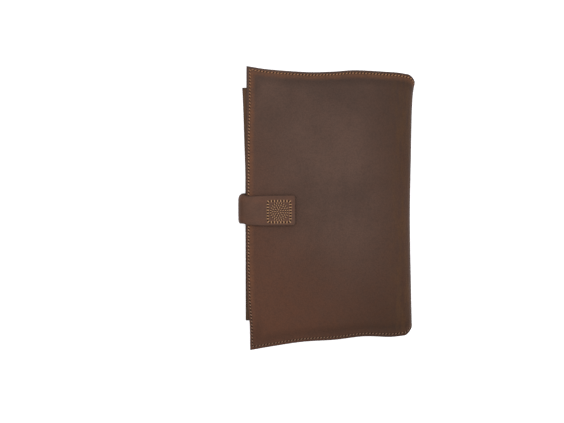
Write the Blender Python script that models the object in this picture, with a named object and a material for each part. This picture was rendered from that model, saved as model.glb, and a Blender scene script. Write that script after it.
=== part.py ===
# A soft leather passport holder, closed and lying on its back cover.
# Metres. +Z up, +Y along the spine, +X from the opening edge to the spine.
# The origin is the middle of the footprint, on the resting plane.
import math

import bmesh
import bpy
from mathutils import Matrix, Vector

MM = 0.001

# overall
HALF_WIDTH = 68.1 * MM  # strap loop at -X, spine at +X
GAP = 0.3 * MM  # clearance between neighbours

# thicknesses of the layers, from the back cover up
COVER = 1.8 * MM
LINING = 0.5 * MM
SLOT = 4.6 * MM  # a passport in its sleeve
POCKET = 0.8 * MM
PLY = 0.7 * MM  # one ply of the leaf
CARD = 0.6 * MM  # one card pocket
STRAP = 1.6 * MM

# cover outline at the opening edge and at the fold
OPEN_TOP = (-61.6 * MM, 112.5 * MM)
OPEN_BOTTOM = (-59.2 * MM, -112.5 * MM)
SPINE_TOP = 107.0 * MM
SPINE_BOTTOM = -101.0 * MM
LINING_INSET = 1.0 * MM
CORNER = 3.0 * MM

# stitching
SEAM_INSET = 2.4 * MM
THREAD = 0.6 * MM  # width of a stitch row
THREAD_DEPTH = 0.45 * MM
ROW_START = 0.6 * MM  # half of what a closed row leaves open at its start
ROW_END = 3.0 * MM  # how far a row on a pocket stops short of its mouth

# strap
STRAP_MIDDLE = -1.6 * MM
STRAP_WIDTH = 24.0 * MM
STRAP_TIP = -22.1 * MM
STRAP_BEND = 5.5 * MM  # outer radius of its bends
STRAP_CORNER = 2.0 * MM
ANCHOR_END = -48.5 * MM
BOX_END = 2.0 * MM  # from the strap's sewn end to its box of stitches
BOX_SIDE = 2.5 * MM
BOX_BEND = 3.5 * MM

# closure
PATCH_MIDDLE = (-35.4 * MM, -2.6 * MM)
PATCH = 17.6 * MM
PATCH_RISE = 0.1 * MM  # the stitches lie on the leather
RING_RADIUS = 5.6 * MM
MAGNET_RADIUS = 7.0 * MM
MAGNET = 0.8 * MM
KEEPER_RADIUS = 8.0 * MM
KEEPER = 0.7 * MM

# leaf
LEAF_EDGE = -63.9 * MM
LEAF_TOP = 94.8 * MM
LEAF_BOTTOM = -89.2 * MM
LEAF_CORNER = 1.5 * MM
LEAF_ROW = 2.0 * MM  # from its edges to its stitches
LEAF_CLEAR = 1.6 * MM  # its plies stop this far short of the hinge line
TONGUE_CLEAR = 1.2 * MM  # and its tongue starts this far past it
TONGUE_SHORT = 2.0 * MM  # the tongue is this much shorter at each end

# passport sleeve, inside sizes
SLEEVE_LEFT = -42.0 * MM
SLEEVE_RIGHT = 50.0 * MM
SLEEVE_BOTTOM = -90.0 * MM
SLEEVE_MOUTH = 28.0 * MM
FLANGE = 5.0 * MM
FLANGE_SHORT = 0.5 * MM  # the flange stops this far below the mouth

# card pockets
CARD_WIDTH = 92.0 * MM
CARD_HEIGHT = 54.0 * MM
CARD_STEP = 13.0 * MM
CARD_MIDDLE = 4.0 * MM
CARD_MARGIN = 2.5 * MM
CARD_PAIRS = (("upper", 14.0 * MM), ("lower", -80.0 * MM))  # where each pair starts

# the stack's levels, worked out from the thicknesses
BACK_LINING_Z = COVER + GAP
BACK_LINING_TOP = BACK_LINING_Z + LINING
SLEEVE_Z = BACK_LINING_TOP + GAP
SLEEVE_ROOF = BACK_LINING_TOP + SLOT
LEAF_BACK_Z = SLEEVE_ROOF + POCKET + GAP
LEAF_FRONT_Z = LEAF_BACK_Z + PLY + GAP
LEAF_TOP_Z = LEAF_FRONT_Z + PLY
OUTER_CARD_Z = LEAF_TOP_Z + GAP
INNER_CARD_Z = OUTER_CARD_Z + CARD + GAP
FRONT_LINING_Z = INNER_CARD_Z + CARD + GAP
FRONT_COVER_Z = FRONT_LINING_Z + LINING + GAP
THICKNESS = FRONT_COVER_Z + COVER
TAB_LINING_Z = THICKNESS + GAP
TAB_Z = TAB_LINING_Z + LINING + GAP
TAB_TOP = TAB_Z + STRAP

# a quarter bend keeps its length when laid flat, if it turns on an axis this many radii
# from its centre along X and along Z
FOLD_REACH = math.pi / 4
FOLD = THICKNESS / 2
FOLD_X = HALF_WIDTH - FOLD
FOLD_AXIS_X = FOLD_X + FOLD_REACH * FOLD
BACK_AXIS_Z = FOLD - FOLD_REACH * FOLD
FRONT_AXIS_Z = FOLD + FOLD_REACH * FOLD
BEND_X = STRAP_BEND - HALF_WIDTH
BEND_AXIS_X = BEND_X - FOLD_REACH * STRAP_BEND
ROOT_CENTRE_Z = BACK_LINING_Z + STRAP_BEND
TIP_CENTRE_Z = TAB_TOP - STRAP_BEND
ROOT_AXIS_Z = ROOT_CENTRE_Z - FOLD_REACH * STRAP_BEND
TIP_AXIS_Z = TIP_CENTRE_Z + FOLD_REACH * STRAP_BEND

# the leaf's axis keeps its height when the spine has turned a quarter turn
LEAF_AXIS_Z = (LEAF_BACK_Z + LEAF_TOP_Z) / 2
LEAF_AXIS_X = FOLD_AXIS_X - (LEAF_AXIS_Z - BACK_AXIS_Z)

ARC_STEPS = 6
SPLIT = math.radians(2.5)  # half the wedge left open where two bodies meet


def material(name, colour, roughness, metallic=0.0):
    made = bpy.data.materials.new(name)
    made.use_nodes = True
    shader = made.node_tree.nodes["Principled BSDF"]
    shader.inputs["Base Color"].default_value = (*colour, 1.0)
    shader.inputs["Roughness"].default_value = roughness
    shader.inputs["Metallic"].default_value = metallic
    return made


def axis_empty(name, x, z, parent=None):
    """An empty on a joint's axis, which the moving pieces hang from."""
    empty = bpy.data.objects.new(name, None)
    bpy.context.collection.objects.link(empty)
    empty.location = (x, 0.0, z)
    if parent:
        empty.location = Vector((x, 0.0, z)) - Vector(world_of[parent])
        empty.parent = parent
    world_of[empty] = (x, 0.0, z)
    return empty


def finish(bm, name, finish_material, parent=None):
    """Turn a bmesh in world coordinates into a named object under its joint's empty."""
    bmesh.ops.recalc_face_normals(bm, faces=bm.faces)
    if parent:
        bmesh.ops.translate(bm, verts=bm.verts, vec=-Vector(world_of[parent]))
    mesh = bpy.data.meshes.new(name)
    bm.to_mesh(mesh)
    bm.free()
    made = bpy.data.objects.new(name, mesh)
    bpy.context.collection.objects.link(made)
    if finish_material:
        mesh.materials.append(finish_material)
    made.parent = parent
    return made


def prism(outline, z0, z1):
    """A flat outline in X and Y, extruded from z0 to z1."""
    bm = bmesh.new()
    face = bm.faces.new([bm.verts.new((x, y, z0)) for x, y in outline])
    raised = bmesh.ops.extrude_face_region(bm, geom=[face])["geom"]
    verts = [v for v in raised if isinstance(v, bmesh.types.BMVert)]
    bmesh.ops.translate(bm, verts=verts, vec=(0.0, 0.0, z1 - z0))
    return bm


def cylinder(middle, radius, z0, z1, sides=40):
    turn = 2 * math.pi / sides
    ring = [
        (middle[0] + radius * math.cos(i * turn), middle[1] + radius * math.sin(i * turn))
        for i in range(sides)
    ]
    return prism(ring, z0, z1)


def rectangle(x0, y0, x1, y1):
    return [(x0, y0), (x1, y0), (x1, y1), (x0, y1)]


def rounded(outline, radius, steps=4):
    """The outline with each corner replaced by an arc."""
    made = []
    for i, corner in enumerate(outline):
        here = Vector(corner)
        before = (Vector(outline[i - 1]) - here).normalized()
        after = (Vector(outline[(i + 1) % len(outline)]) - here).normalized()
        half = before.angle(after) / 2
        if half > math.radians(80):
            made.append(corner)
            continue
        centre = here + (before + after).normalized() * radius / math.sin(half)
        start = here + before * radius / math.tan(half) - centre
        end = here + after * radius / math.tan(half) - centre
        turn = start.angle_signed(end)
        for k in range(steps + 1):
            point = start.copy()
            point.rotate(Matrix.Rotation(-turn * k / steps, 2))
            made.append(tuple(centre + point))
    return made


def inset(outline, amount):
    """The outline moved inwards by the same amount all round. It runs anticlockwise."""
    made = []
    for i, corner in enumerate(outline):
        here = Vector(corner)
        along_in = (here - Vector(outline[i - 1])).normalized()
        along_out = (Vector(outline[(i + 1) % len(outline)]) - here).normalized()
        middle = (along_in + along_out).normalized()
        normal = Vector((-middle.y, middle.x))
        made.append(tuple(here + normal * amount / middle.dot(along_in)))
    return made


def row(path, width):
    """The outline of a narrow band of the given width along an open path."""
    sides = []
    for sign in (-0.5, 0.5):
        side = []
        for i, corner in enumerate(path):
            here = Vector(corner)
            back = here - Vector(path[max(i - 1, 0)])
            ahead = Vector(path[min(i + 1, len(path) - 1)]) - here
            back = back.normalized() if back.length else ahead.normalized()
            ahead = ahead.normalized() if ahead.length else back
            middle = (back + ahead).normalized()
            normal = Vector((-middle.y, middle.x))
            side.append(tuple(here + normal * sign * width / middle.dot(back)))
        sides.append(side)
    return sides[0] + sides[1][::-1]


def bend(bm, x, z, centre_z, turn, steps=ARC_STEPS):
    """Spin the face that stands at x on round a fold's centre line, which runs along Y."""
    bm.normal_update()
    face = min(
        (f for f in bm.faces if abs(f.normal.x) > 0.9),
        key=lambda f: abs(f.calc_center_median().x - x),
    )
    spin_on(bm, face, (x, 0.0, centre_z), turn, steps)


def spin_on(bm, face, centre, turn, steps=ARC_STEPS):
    """Carry a closed shape on from one of its faces, round an axis along Y."""
    bmesh.ops.spin(bm, geom=[face], cent=centre, axis=(0.0, 1.0, 0.0), angle=turn, steps=steps)
    bm.faces.remove(face)


def arc(centre, outer, inner, start, end, y0, y1, steps=ARC_STEPS):
    """Part of a round shell along Y. Angles are from +X towards +Z."""
    bm = bmesh.new()
    corners = []
    for radius, y in ((inner, y0), (outer, y0), (outer, y1), (inner, y1)):
        x = centre[0] + radius * math.cos(start)
        z = centre[1] + radius * math.sin(start)
        corners.append(bm.verts.new((x, y, z)))
    face = bm.faces.new(corners)
    bmesh.ops.spin(
        bm,
        geom=[face],
        cent=(centre[0], 0.0, centre[1]),
        axis=(0.0, -1.0, 0.0),
        angle=end - start,
        steps=steps,
    )
    return bm


def boolean(target, cutter, operation="DIFFERENCE"):
    cutter.hide_render = True
    cutter.display_type = "WIRE"
    cut = target.modifiers.new(operation.lower(), "BOOLEAN")
    cut.operation = operation
    cut.solver = "EXACT"
    cut.object = cutter


def cover_outline(inset_by=0.0, end_x=FOLD_X):
    """The flat part of a cover, flared at the opening edge, from there to the fold."""
    outline = [
        OPEN_BOTTOM,
        (-23.0 * MM, -107.5 * MM),
        (17.0 * MM, -103.5 * MM),
        (end_x, SPINE_BOTTOM),
        (end_x, SPINE_TOP),
        (22.0 * MM, 108.8 * MM),
        (-28.0 * MM, 108.5 * MM),
        OPEN_TOP,
    ]
    return inset(outline, inset_by) if inset_by else outline


def open_corners_rounded(outline):
    """Round the two corners at the opening edge, and leave those at the fold square."""
    whole = rounded(outline, CORNER)
    keep = [p for p in whole if p[0] < 0.0]
    square = [p for p in outline if p[0] >= 0.0]
    top = [p for p in keep if p[1] > 0.0]
    bottom = [p for p in keep if p[1] <= 0.0]
    return bottom + square + top


def seam_path():
    """The stitch row of a cover, from the fold round the opening edge and back to the fold."""
    inner = open_corners_rounded(cover_outline(SEAM_INSET, FOLD_X))
    start = max(range(len(inner)), key=lambda i: (inner[i][0], inner[i][1]))
    path = inner[start:] + inner[:start]
    return [(min(x, FOLD_X - 1.0 * MM), y) for x, y in path]


for old in list(bpy.data.objects):
    bpy.data.objects.remove(old, do_unlink=True)
world_of = {}

leather = material("cover leather", (0.105, 0.062, 0.044), 0.55)
strap_leather = material("strap leather", (0.125, 0.072, 0.05), 0.5)
lining_suede = material("lining suede", (0.16, 0.1, 0.065), 0.85)
pocket_leather = material("pocket leather", (0.14, 0.08, 0.05), 0.6)
thread = material("waxed thread", (0.3, 0.2, 0.14), 0.6)
steel = material("nickelled steel", (0.62, 0.6, 0.57), 0.3, 1.0)

spine_axis = axis_empty("spine_axis", FOLD_AXIS_X, BACK_AXIS_Z)
front_axis = axis_empty("front_axis", FOLD_AXIS_X, FRONT_AXIS_Z, spine_axis)
leaf_axis = axis_empty("leaf_axis", LEAF_AXIS_X, LEAF_AXIS_Z, spine_axis)
root_axis = axis_empty("strap_root_axis", BEND_AXIS_X, ROOT_AXIS_Z)
tip_axis = axis_empty("strap_tip_axis", BEND_AXIS_X, TIP_AXIS_Z, root_axis)

eighth = math.pi / 4
strap_y0 = STRAP_MIDDLE - STRAP_WIDTH / 2
strap_y1 = STRAP_MIDDLE + STRAP_WIDTH / 2
cover_flat = open_corners_rounded(cover_outline())


def cover(name, z0, turn, parent):
    """A flat cover panel that carries on into the first half of its fold."""
    bm = prism(cover_flat, z0, z0 + COVER)
    bend(bm, FOLD_X, z0, FOLD, turn)
    return finish(bm, name, leather, parent)


def seam(name, target, groove_z, thread_z, parent):
    """A stitch row lying in its groove."""
    path = seam_path()
    groove = prism(row(path, THREAD + 2 * GAP), *groove_z)
    boolean(target, finish(groove, name + "_groove", None, parent))
    return finish(prism(row(path, THREAD), *thread_z), name, thread, parent)


# back cover, with the groove of its seam on the underside
back_cover = cover("back_cover", 0.0, -(eighth - SPLIT), None)
seam("back_seam_thread", back_cover, (-GAP, THREAD_DEPTH + GAP), (0.0, THREAD_DEPTH), None)

# the lining is notched where the strap's root is sewn in
back_lining = finish(
    prism(cover_outline(LINING_INSET, FOLD_X), BACK_LINING_Z, BACK_LINING_TOP),
    "back_lining",
    lining_suede,
)
notch = rectangle(-HALF_WIDTH, strap_y0 - GAP, ANCHOR_END + GAP, strap_y1 + GAP)
boolean(back_lining, finish(prism(notch, 0.0, SLOT), "anchor_notch", None))

# strap root: sewn flat between cover and lining, then half of the first bend
anchor = prism(
    rectangle(BEND_X, strap_y0, ANCHOR_END, strap_y1), BACK_LINING_Z, BACK_LINING_Z + STRAP
)
bend(anchor, BEND_X, BACK_LINING_Z, ROOT_CENTRE_Z, eighth - SPLIT)
anchor = finish(anchor, "strap_anchor", strap_leather)
box_x0 = BEND_X + BOX_BEND
box_x1 = ANCHOR_END - BOX_END
box = [
    (box_x1, STRAP_MIDDLE + ROW_START),
    (box_x1, strap_y1 - BOX_SIDE),
    (box_x0, strap_y1 - BOX_SIDE),
    (box_x0, strap_y0 + BOX_SIDE),
    (box_x1, strap_y0 + BOX_SIDE),
    (box_x1, STRAP_MIDDLE - ROW_START),
]
anchor_top = BACK_LINING_Z + STRAP
groove = prism(row(box, THREAD + 2 * GAP), anchor_top - THREAD_DEPTH - GAP, anchor_top + GAP)
boolean(anchor, finish(groove, "anchor_groove", None))
finish(prism(row(box, THREAD), anchor_top - THREAD_DEPTH, anchor_top), "strap_anchor_thread", thread)

# passport sleeve: roof, three gusset walls and a sewn flange, open towards the head
sleeve = prism(
    rectangle(
        SLEEVE_LEFT - POCKET, SLEEVE_BOTTOM - POCKET, SLEEVE_RIGHT + POCKET, SLEEVE_MOUTH
    ),
    SLEEVE_Z,
    SLEEVE_ROOF + POCKET,
)
sleeve = finish(sleeve, "passport_pocket", pocket_leather)
flange = prism(
    rectangle(
        SLEEVE_LEFT - POCKET - FLANGE,
        SLEEVE_BOTTOM - POCKET - FLANGE,
        SLEEVE_RIGHT + POCKET + FLANGE,
        SLEEVE_MOUTH - FLANGE_SHORT,
    ),
    SLEEVE_Z - GAP / 3,
    SLEEVE_Z + POCKET,
)
boolean(sleeve, finish(flange, "sleeve_flange", None), "UNION")
slot = prism(
    rectangle(SLEEVE_LEFT, SLEEVE_BOTTOM, SLEEVE_RIGHT, SLEEVE_MOUTH + FLANGE),
    -SLOT,
    SLEEVE_ROOF,
)
boolean(sleeve, finish(slot, "sleeve_slot", None))
flange_row = [
    (SLEEVE_LEFT - POCKET - FLANGE / 2, SLEEVE_MOUTH - ROW_END),
    (SLEEVE_LEFT - POCKET - FLANGE / 2, SLEEVE_BOTTOM - POCKET - FLANGE / 2),
    (SLEEVE_RIGHT + POCKET + FLANGE / 2, SLEEVE_BOTTOM - POCKET - FLANGE / 2),
    (SLEEVE_RIGHT + POCKET + FLANGE / 2, SLEEVE_MOUTH - ROW_END),
]
flange_top = SLEEVE_Z + POCKET + GAP
finish(
    prism(row(flange_row, THREAD), flange_top, flange_top + THREAD_DEPTH),
    "passport_pocket_thread",
    thread,
)

# spine: the middle half of the fold, its lining and its stitched ends
fold_centre = (FOLD_X, FOLD)
spine_cover = finish(
    arc(
        fold_centre, FOLD, FOLD - COVER, SPLIT - eighth, eighth - SPLIT, SPINE_BOTTOM, SPINE_TOP, 12
    ),
    "spine_cover",
    leather,
    spine_axis,
)
lining_reach = math.radians(80)
spine_lining_radius = FOLD - COVER - GAP
finish(
    arc(
        fold_centre,
        spine_lining_radius,
        spine_lining_radius - LINING,
        -lining_reach,
        lining_reach,
        SPINE_BOTTOM + LINING_INSET,
        SPINE_TOP - LINING_INSET,
        16,
    ),
    "spine_lining",
    lining_suede,
    spine_axis,
)
thread_reach = eighth - 2 * SPLIT
for name, y in (
    ("spine_thread_head", SPINE_TOP - SEAM_INSET),
    ("spine_thread_tail", SPINE_BOTTOM + SEAM_INSET),
):
    half = THREAD / 2
    groove = arc(
        fold_centre,
        FOLD + GAP,
        FOLD - THREAD_DEPTH - GAP,
        -eighth,
        eighth,
        y - half - GAP,
        y + half + GAP,
        12,
    )
    boolean(spine_cover, finish(groove, name + "_groove", None, spine_axis))
    stitches = arc(
        fold_centre, FOLD, FOLD - THREAD_DEPTH, -thread_reach, thread_reach, y - half, y + half, 12
    )
    finish(stitches, name, thread, spine_axis)

# tongue: the strip that holds the leaf to the spine
tongue_z0 = LEAF_AXIS_Z - POCKET / 2
tongue_z1 = LEAF_AXIS_Z + POCKET / 2
lining_inside = spine_lining_radius - LINING
tongue_end = FOLD_X + math.sqrt(lining_inside**2 - (tongue_z1 - FOLD) ** 2) - GAP
finish(
    prism(
        rectangle(
            LEAF_AXIS_X + TONGUE_CLEAR,
            LEAF_BOTTOM + TONGUE_SHORT,
            tongue_end,
            LEAF_TOP - TONGUE_SHORT,
        ),
        tongue_z0,
        tongue_z1,
    ),
    "leaf_tongue",
    pocket_leather,
    spine_axis,
)

# leaf: two plies sewn together on three sides, open at the head
leaf_end = LEAF_AXIS_X - LEAF_CLEAR
leaf_outline = rounded(rectangle(LEAF_EDGE, LEAF_BOTTOM, leaf_end, LEAF_TOP), LEAF_CORNER)
for name, z in (("leaf_back_ply", LEAF_BACK_Z), ("leaf_front_ply", LEAF_FRONT_Z)):
    finish(prism(leaf_outline, z, z + PLY), name, pocket_leather, leaf_axis)
leaf_row = [
    (leaf_end - LEAF_ROW, LEAF_TOP - LEAF_ROW),
    (leaf_end - LEAF_ROW, LEAF_BOTTOM + LEAF_ROW),
    (LEAF_EDGE + LEAF_ROW, LEAF_BOTTOM + LEAF_ROW),
    (LEAF_EDGE + LEAF_ROW, LEAF_TOP - LEAF_ROW),
]
finish(
    prism(row(leaf_row, THREAD), LEAF_TOP_Z + GAP, LEAF_TOP_Z + GAP + THREAD_DEPTH),
    "leaf_thread",
    thread,
    leaf_axis,
)

# front cover, with the groove of its seam on top and a skived seat for the keeper disc
front_cover = cover("front_cover", FRONT_COVER_Z, eighth - SPLIT, front_axis)
seam(
    "front_seam_thread",
    front_cover,
    (THICKNESS - THREAD_DEPTH - GAP, THICKNESS + GAP),
    (THICKNESS - THREAD_DEPTH, THICKNESS),
    front_axis,
)
seat = cylinder(
    PATCH_MIDDLE, KEEPER_RADIUS + GAP, FRONT_COVER_Z - GAP, FRONT_COVER_Z + KEEPER + GAP
)
boolean(front_cover, finish(seat, "keeper_seat", None, front_axis))
finish(
    cylinder(PATCH_MIDDLE, KEEPER_RADIUS, FRONT_COVER_Z, FRONT_COVER_Z + KEEPER),
    "keeper_disc",
    steel,
    front_axis,
)
finish(
    prism(cover_outline(LINING_INSET, FOLD_X), FRONT_LINING_Z, FRONT_LINING_Z + LINING),
    "front_lining",
    lining_suede,
    front_axis,
)

# card pockets: two stepped pairs, the outer pocket of each pair shorter and narrower
card_x0 = CARD_MIDDLE - CARD_WIDTH / 2
card_x1 = CARD_MIDDLE + CARD_WIDTH / 2
number = 1
for pair, card_y in CARD_PAIRS:
    for z, margin, height in (
        (INNER_CARD_Z, CARD_MARGIN, CARD_HEIGHT + CARD_STEP),
        (OUTER_CARD_Z, 0.0, CARD_HEIGHT),
    ):
        pocket = rectangle(card_x0 - margin, card_y - margin, card_x1 + margin, card_y + height)
        finish(prism(pocket, z, z + CARD), f"card_pocket_{number}", pocket_leather, front_axis)
        number += 1
    side = CARD_MARGIN / 2
    card_row = [
        (card_x0 - side, card_y + CARD_HEIGHT),
        (card_x0 - side, card_y - side),
        (card_x1 + side, card_y - side),
        (card_x1 + side, card_y + CARD_HEIGHT),
    ]
    card_row_z = INNER_CARD_Z - GAP
    finish(
        prism(row(card_row, THREAD), card_row_z - THREAD_DEPTH, card_row_z),
        f"{pair}_card_thread",
        thread,
        front_axis,
    )


def strap_wall(name, outer, inner, finish_material):
    """The strap's upright stretch at the opening edge, between its two bends."""
    x0 = BEND_X - outer
    x1 = BEND_X - inner
    bm = bmesh.new()
    low = bm.faces.new(
        [
            bm.verts.new(corner)
            for corner in (
                (x0, strap_y0, ROOT_CENTRE_Z),
                (x1, strap_y0, ROOT_CENTRE_Z),
                (x1, strap_y1, ROOT_CENTRE_Z),
                (x0, strap_y1, ROOT_CENTRE_Z),
            )
        ]
    )
    raised = bmesh.ops.extrude_face_region(bm, geom=[low])["geom"]
    verts = [v for v in raised if isinstance(v, bmesh.types.BMVert)]
    bmesh.ops.translate(bm, verts=verts, vec=(0.0, 0.0, TIP_CENTRE_Z - ROOT_CENTRE_Z))
    for centre_z, turn in ((ROOT_CENTRE_Z, -(eighth - SPLIT)), (TIP_CENTRE_Z, eighth - SPLIT)):
        bm.normal_update()
        end = min(
            (f for f in bm.faces if abs(f.normal.z) > 0.9),
            key=lambda f, z=centre_z: abs(f.calc_center_median().z - z),
        )
        spin_on(bm, end, (BEND_X, 0.0, centre_z), turn)
    return finish(bm, name, finish_material, root_axis)


strap_wall("strap_side", STRAP_BEND, STRAP_BEND - STRAP, strap_leather)
side_lining_outer = STRAP_BEND - STRAP - GAP
strap_wall("strap_side_lining", side_lining_outer, side_lining_outer - LINING, lining_suede)


def tab_ply(name, z0, thickness, finish_material):
    """A ply of the strap's end, from half of the second bend to the tip."""
    square = rectangle(BEND_X, strap_y0, STRAP_TIP, strap_y1)
    tip = [p for p in rounded(square, STRAP_CORNER) if p[0] > PATCH_MIDDLE[0]]
    bm = prism([square[0], *tip, square[3]], z0, z0 + thickness)
    bend(bm, BEND_X, z0, TIP_CENTRE_Z, -(eighth - SPLIT))
    return finish(bm, name, finish_material, tip_axis)


tab = tab_ply("strap_tab", TAB_Z, STRAP, strap_leather)
tab_ply("strap_tab_lining", TAB_LINING_Z, LINING, lining_suede)
seat = cylinder(PATCH_MIDDLE, MAGNET_RADIUS + GAP, TAB_Z - GAP, TAB_Z + MAGNET + GAP)
boolean(tab, finish(seat, "magnet_seat", None, tip_axis))
finish(
    cylinder(PATCH_MIDDLE, MAGNET_RADIUS, TAB_Z, TAB_Z + MAGNET), "strap_magnet", steel, tip_axis
)

# the stitched square over the magnet, and the ring inside it
stitch_z0 = TAB_TOP + PATCH_RISE
stitch_z1 = stitch_z0 + THREAD_DEPTH
patch_half = PATCH / 2
patch = rectangle(
    PATCH_MIDDLE[0] - patch_half,
    PATCH_MIDDLE[1] - patch_half,
    PATCH_MIDDLE[0] + patch_half,
    PATCH_MIDDLE[1] + patch_half,
)


def stitched_loop(name, outer, inner):
    """A closed stitch row: the outer outline with the inner one cut out."""
    ring = finish(prism(outer, stitch_z0, stitch_z1), name, thread, tip_axis)
    hole = finish(prism(inner, stitch_z0 - GAP, stitch_z1 + GAP), name + "_hole", None, tip_axis)
    boolean(ring, hole)
    return ring


def circle(radius, sides=36):
    turn = 2 * math.pi / sides
    x, y = PATCH_MIDDLE
    return [(x + radius * math.cos(i * turn), y + radius * math.sin(i * turn)) for i in range(sides)]


stitched_loop("strap_patch_thread", patch, inset(patch, THREAD))
stitched_loop("strap_ring_thread", circle(RING_RADIUS), circle(RING_RADIUS - THREAD))
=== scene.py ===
import math

import bmesh
import bpy
import numpy as np
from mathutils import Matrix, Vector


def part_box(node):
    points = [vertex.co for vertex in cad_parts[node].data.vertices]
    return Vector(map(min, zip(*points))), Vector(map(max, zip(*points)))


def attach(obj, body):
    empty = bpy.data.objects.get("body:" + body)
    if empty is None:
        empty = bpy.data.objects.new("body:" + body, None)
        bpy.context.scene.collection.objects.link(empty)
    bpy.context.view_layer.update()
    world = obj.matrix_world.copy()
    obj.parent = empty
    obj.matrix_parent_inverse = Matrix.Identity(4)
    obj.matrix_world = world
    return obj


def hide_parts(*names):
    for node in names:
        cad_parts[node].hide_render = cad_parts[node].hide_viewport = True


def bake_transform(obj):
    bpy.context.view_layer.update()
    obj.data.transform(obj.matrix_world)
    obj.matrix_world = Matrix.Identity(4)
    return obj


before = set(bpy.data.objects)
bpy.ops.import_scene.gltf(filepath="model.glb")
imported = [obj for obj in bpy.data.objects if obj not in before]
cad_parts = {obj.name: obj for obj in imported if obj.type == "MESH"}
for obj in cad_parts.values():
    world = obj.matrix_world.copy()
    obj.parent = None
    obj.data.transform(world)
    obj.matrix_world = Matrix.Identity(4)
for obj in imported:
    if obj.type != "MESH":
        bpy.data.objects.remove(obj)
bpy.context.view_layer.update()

mm = 0.001
bpy.ops.object.select_all(action="DESELECT")


def side(node, corner, axis):  # one coordinate of a node's box: corner 0 is the low one
    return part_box(node)[corner]["xyz".index(axis)]


def outlineOf(node):  # a node's limits in x and y
    return side(node, 0, "x"), side(node, 1, "x"), side(node, 0, "y"), side(node, 1, "y")


def curveThrough(points):  # a smooth curve through a few (place, value) points in mm, level past its ends
    place = np.array([p[0] for p in points], float) * mm
    value = np.array([p[1] for p in points], float) * mm
    fall = np.diff(value) / np.diff(place)
    both = fall[:-1] * fall[1:]
    level = 2 * both / np.where(both > 0, fall[:-1] + fall[1:], 1)  # never swings past its points
    slope = np.concatenate([fall[:1], np.where(both > 0, level, 0), fall[-1:]])

    def at(x):
        x = np.clip(np.asarray(x, float), place[0], place[-1])
        i = np.clip(np.searchsorted(place, x, side="right") - 1, 0, len(place) - 2)
        span = place[i + 1] - place[i]
        t = (x - place[i]) / span
        height = (2 * t**3 - 3 * t**2 + 1) * value[i] + (3 * t**2 - 2 * t**3) * value[i + 1]
        lean = (t**3 - 2 * t**2 + t) * slope[i] + (t**3 - t**2) * slope[i + 1]
        return height + lean * span

    return at


def ease(x, low, high):  # 0 before low, 1 after high, smooth between
    t = np.clip((np.asarray(x, float) - low) / (high - low), 0, 1)
    return t * t * (3 - 2 * t)


def spread(low, high, step):  # evenly spaced stops, about step apart
    return np.linspace(low, high, max(2, int(round((high - low) / step)) + 1))


def unit(vectors):
    return vectors / np.maximum(np.linalg.norm(vectors, axis=-1, keepdims=True), 1e-12)


def placesOf(piece):
    co = np.empty(len(piece.data.vertices) * 3)
    piece.data.vertices.foreach_get("co", co)
    return co.reshape(-1, 3)


def setPlaces(piece, co):
    piece.data.vertices.foreach_set("co", np.asarray(co, np.float32).ravel())
    piece.data.update()


def setNumbers(piece, name, kind, values):  # an attribute on the vertices, which the materials read
    attribute = piece.data.attributes.get(name) or piece.data.attributes.new(name, kind, "POINT")
    key = "vector" if kind == "FLOAT_VECTOR" else "value"
    attribute.data.foreach_set(key, np.asarray(values, np.float32).ravel())


def pickOnly(piece):
    bpy.ops.object.select_all(action="DESELECT")
    piece.select_set(True)
    bpy.context.view_layer.objects.active = piece


def stack(*columns):
    return np.stack(np.broadcast_arrays(*columns), axis=-1).reshape(-1, 3)


# a soft sheet is a grid laid where a function says, then given its wall and its eased edges
def newSheet(name, across, along, place, edgeOf, facing=1):
    columns, rows = len(across) - 1, len(along) - 1
    bpy.ops.mesh.primitive_grid_add(x_subdivisions=columns, y_subdivisions=rows, size=1)
    piece = bpy.context.object
    piece.name = piece.data.name = name
    co = placesOf(piece)
    i = np.rint((co[:, 0] + 0.5) * columns).astype(int)
    j = np.rint((co[:, 1] + 0.5) * rows).astype(int)
    setPlaces(piece, place(across[i], along[j]))
    setNumbers(piece, "edgeDistance", "FLOAT", edgeOf(across[i], along[j]))
    if facing < 0:
        bpy.ops.object.mode_set(mode="EDIT")
        bpy.ops.mesh.select_all(action="SELECT")
        bpy.ops.mesh.flip_normals()
        bpy.ops.object.mode_set(mode="OBJECT")
    return piece


def giveWall(piece, wall, materials, joinAt=None, eased=0.3 * mm):
    sharpFrom = 0.9  # radians, where an edge counts as a cut one
    for material in materials:  # face, inner side, cut edge
        piece.data.materials.append(material)
    solid = piece.modifiers.new("wall", "SOLIDIFY")
    solid.thickness = wall
    solid.offset = -1
    solid.use_even_offset = True
    solid.material_offset = 1
    solid.material_offset_rim = 2
    pickOnly(piece)
    bpy.ops.object.modifier_apply(modifier="wall")
    bpy.ops.object.mode_set(mode="EDIT")
    bpy.ops.mesh.select_mode(type="EDGE")
    bpy.ops.mesh.select_all(action="DESELECT")
    bm = bmesh.from_edit_mesh(piece.data)
    for edge in bm.edges:  # the cut edge is eased, and the hidden join to the next piece stays square
        sharp = len(edge.link_faces) == 2 and edge.calc_face_angle() > sharpFrom
        atJoin = joinAt is not None and all(joinAt(v.co) for v in edge.verts)
        edge.select_set(sharp and not atJoin)
    bmesh.update_edit_mesh(piece.data)
    bpy.ops.mesh.bevel(offset=eased, segments=2, profile=0.55, clamp_overlap=True)
    bpy.ops.object.mode_set(mode="OBJECT")
    return piece


def settle(piece):  # the finished mesh: shading, and its place at rest for the patterns
    pickOnly(piece)
    bpy.ops.object.shade_smooth_by_angle(angle=math.radians(50))
    setNumbers(piece, "restPlace", "FLOAT_VECTOR", placesOf(piece))
    return piece


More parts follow.
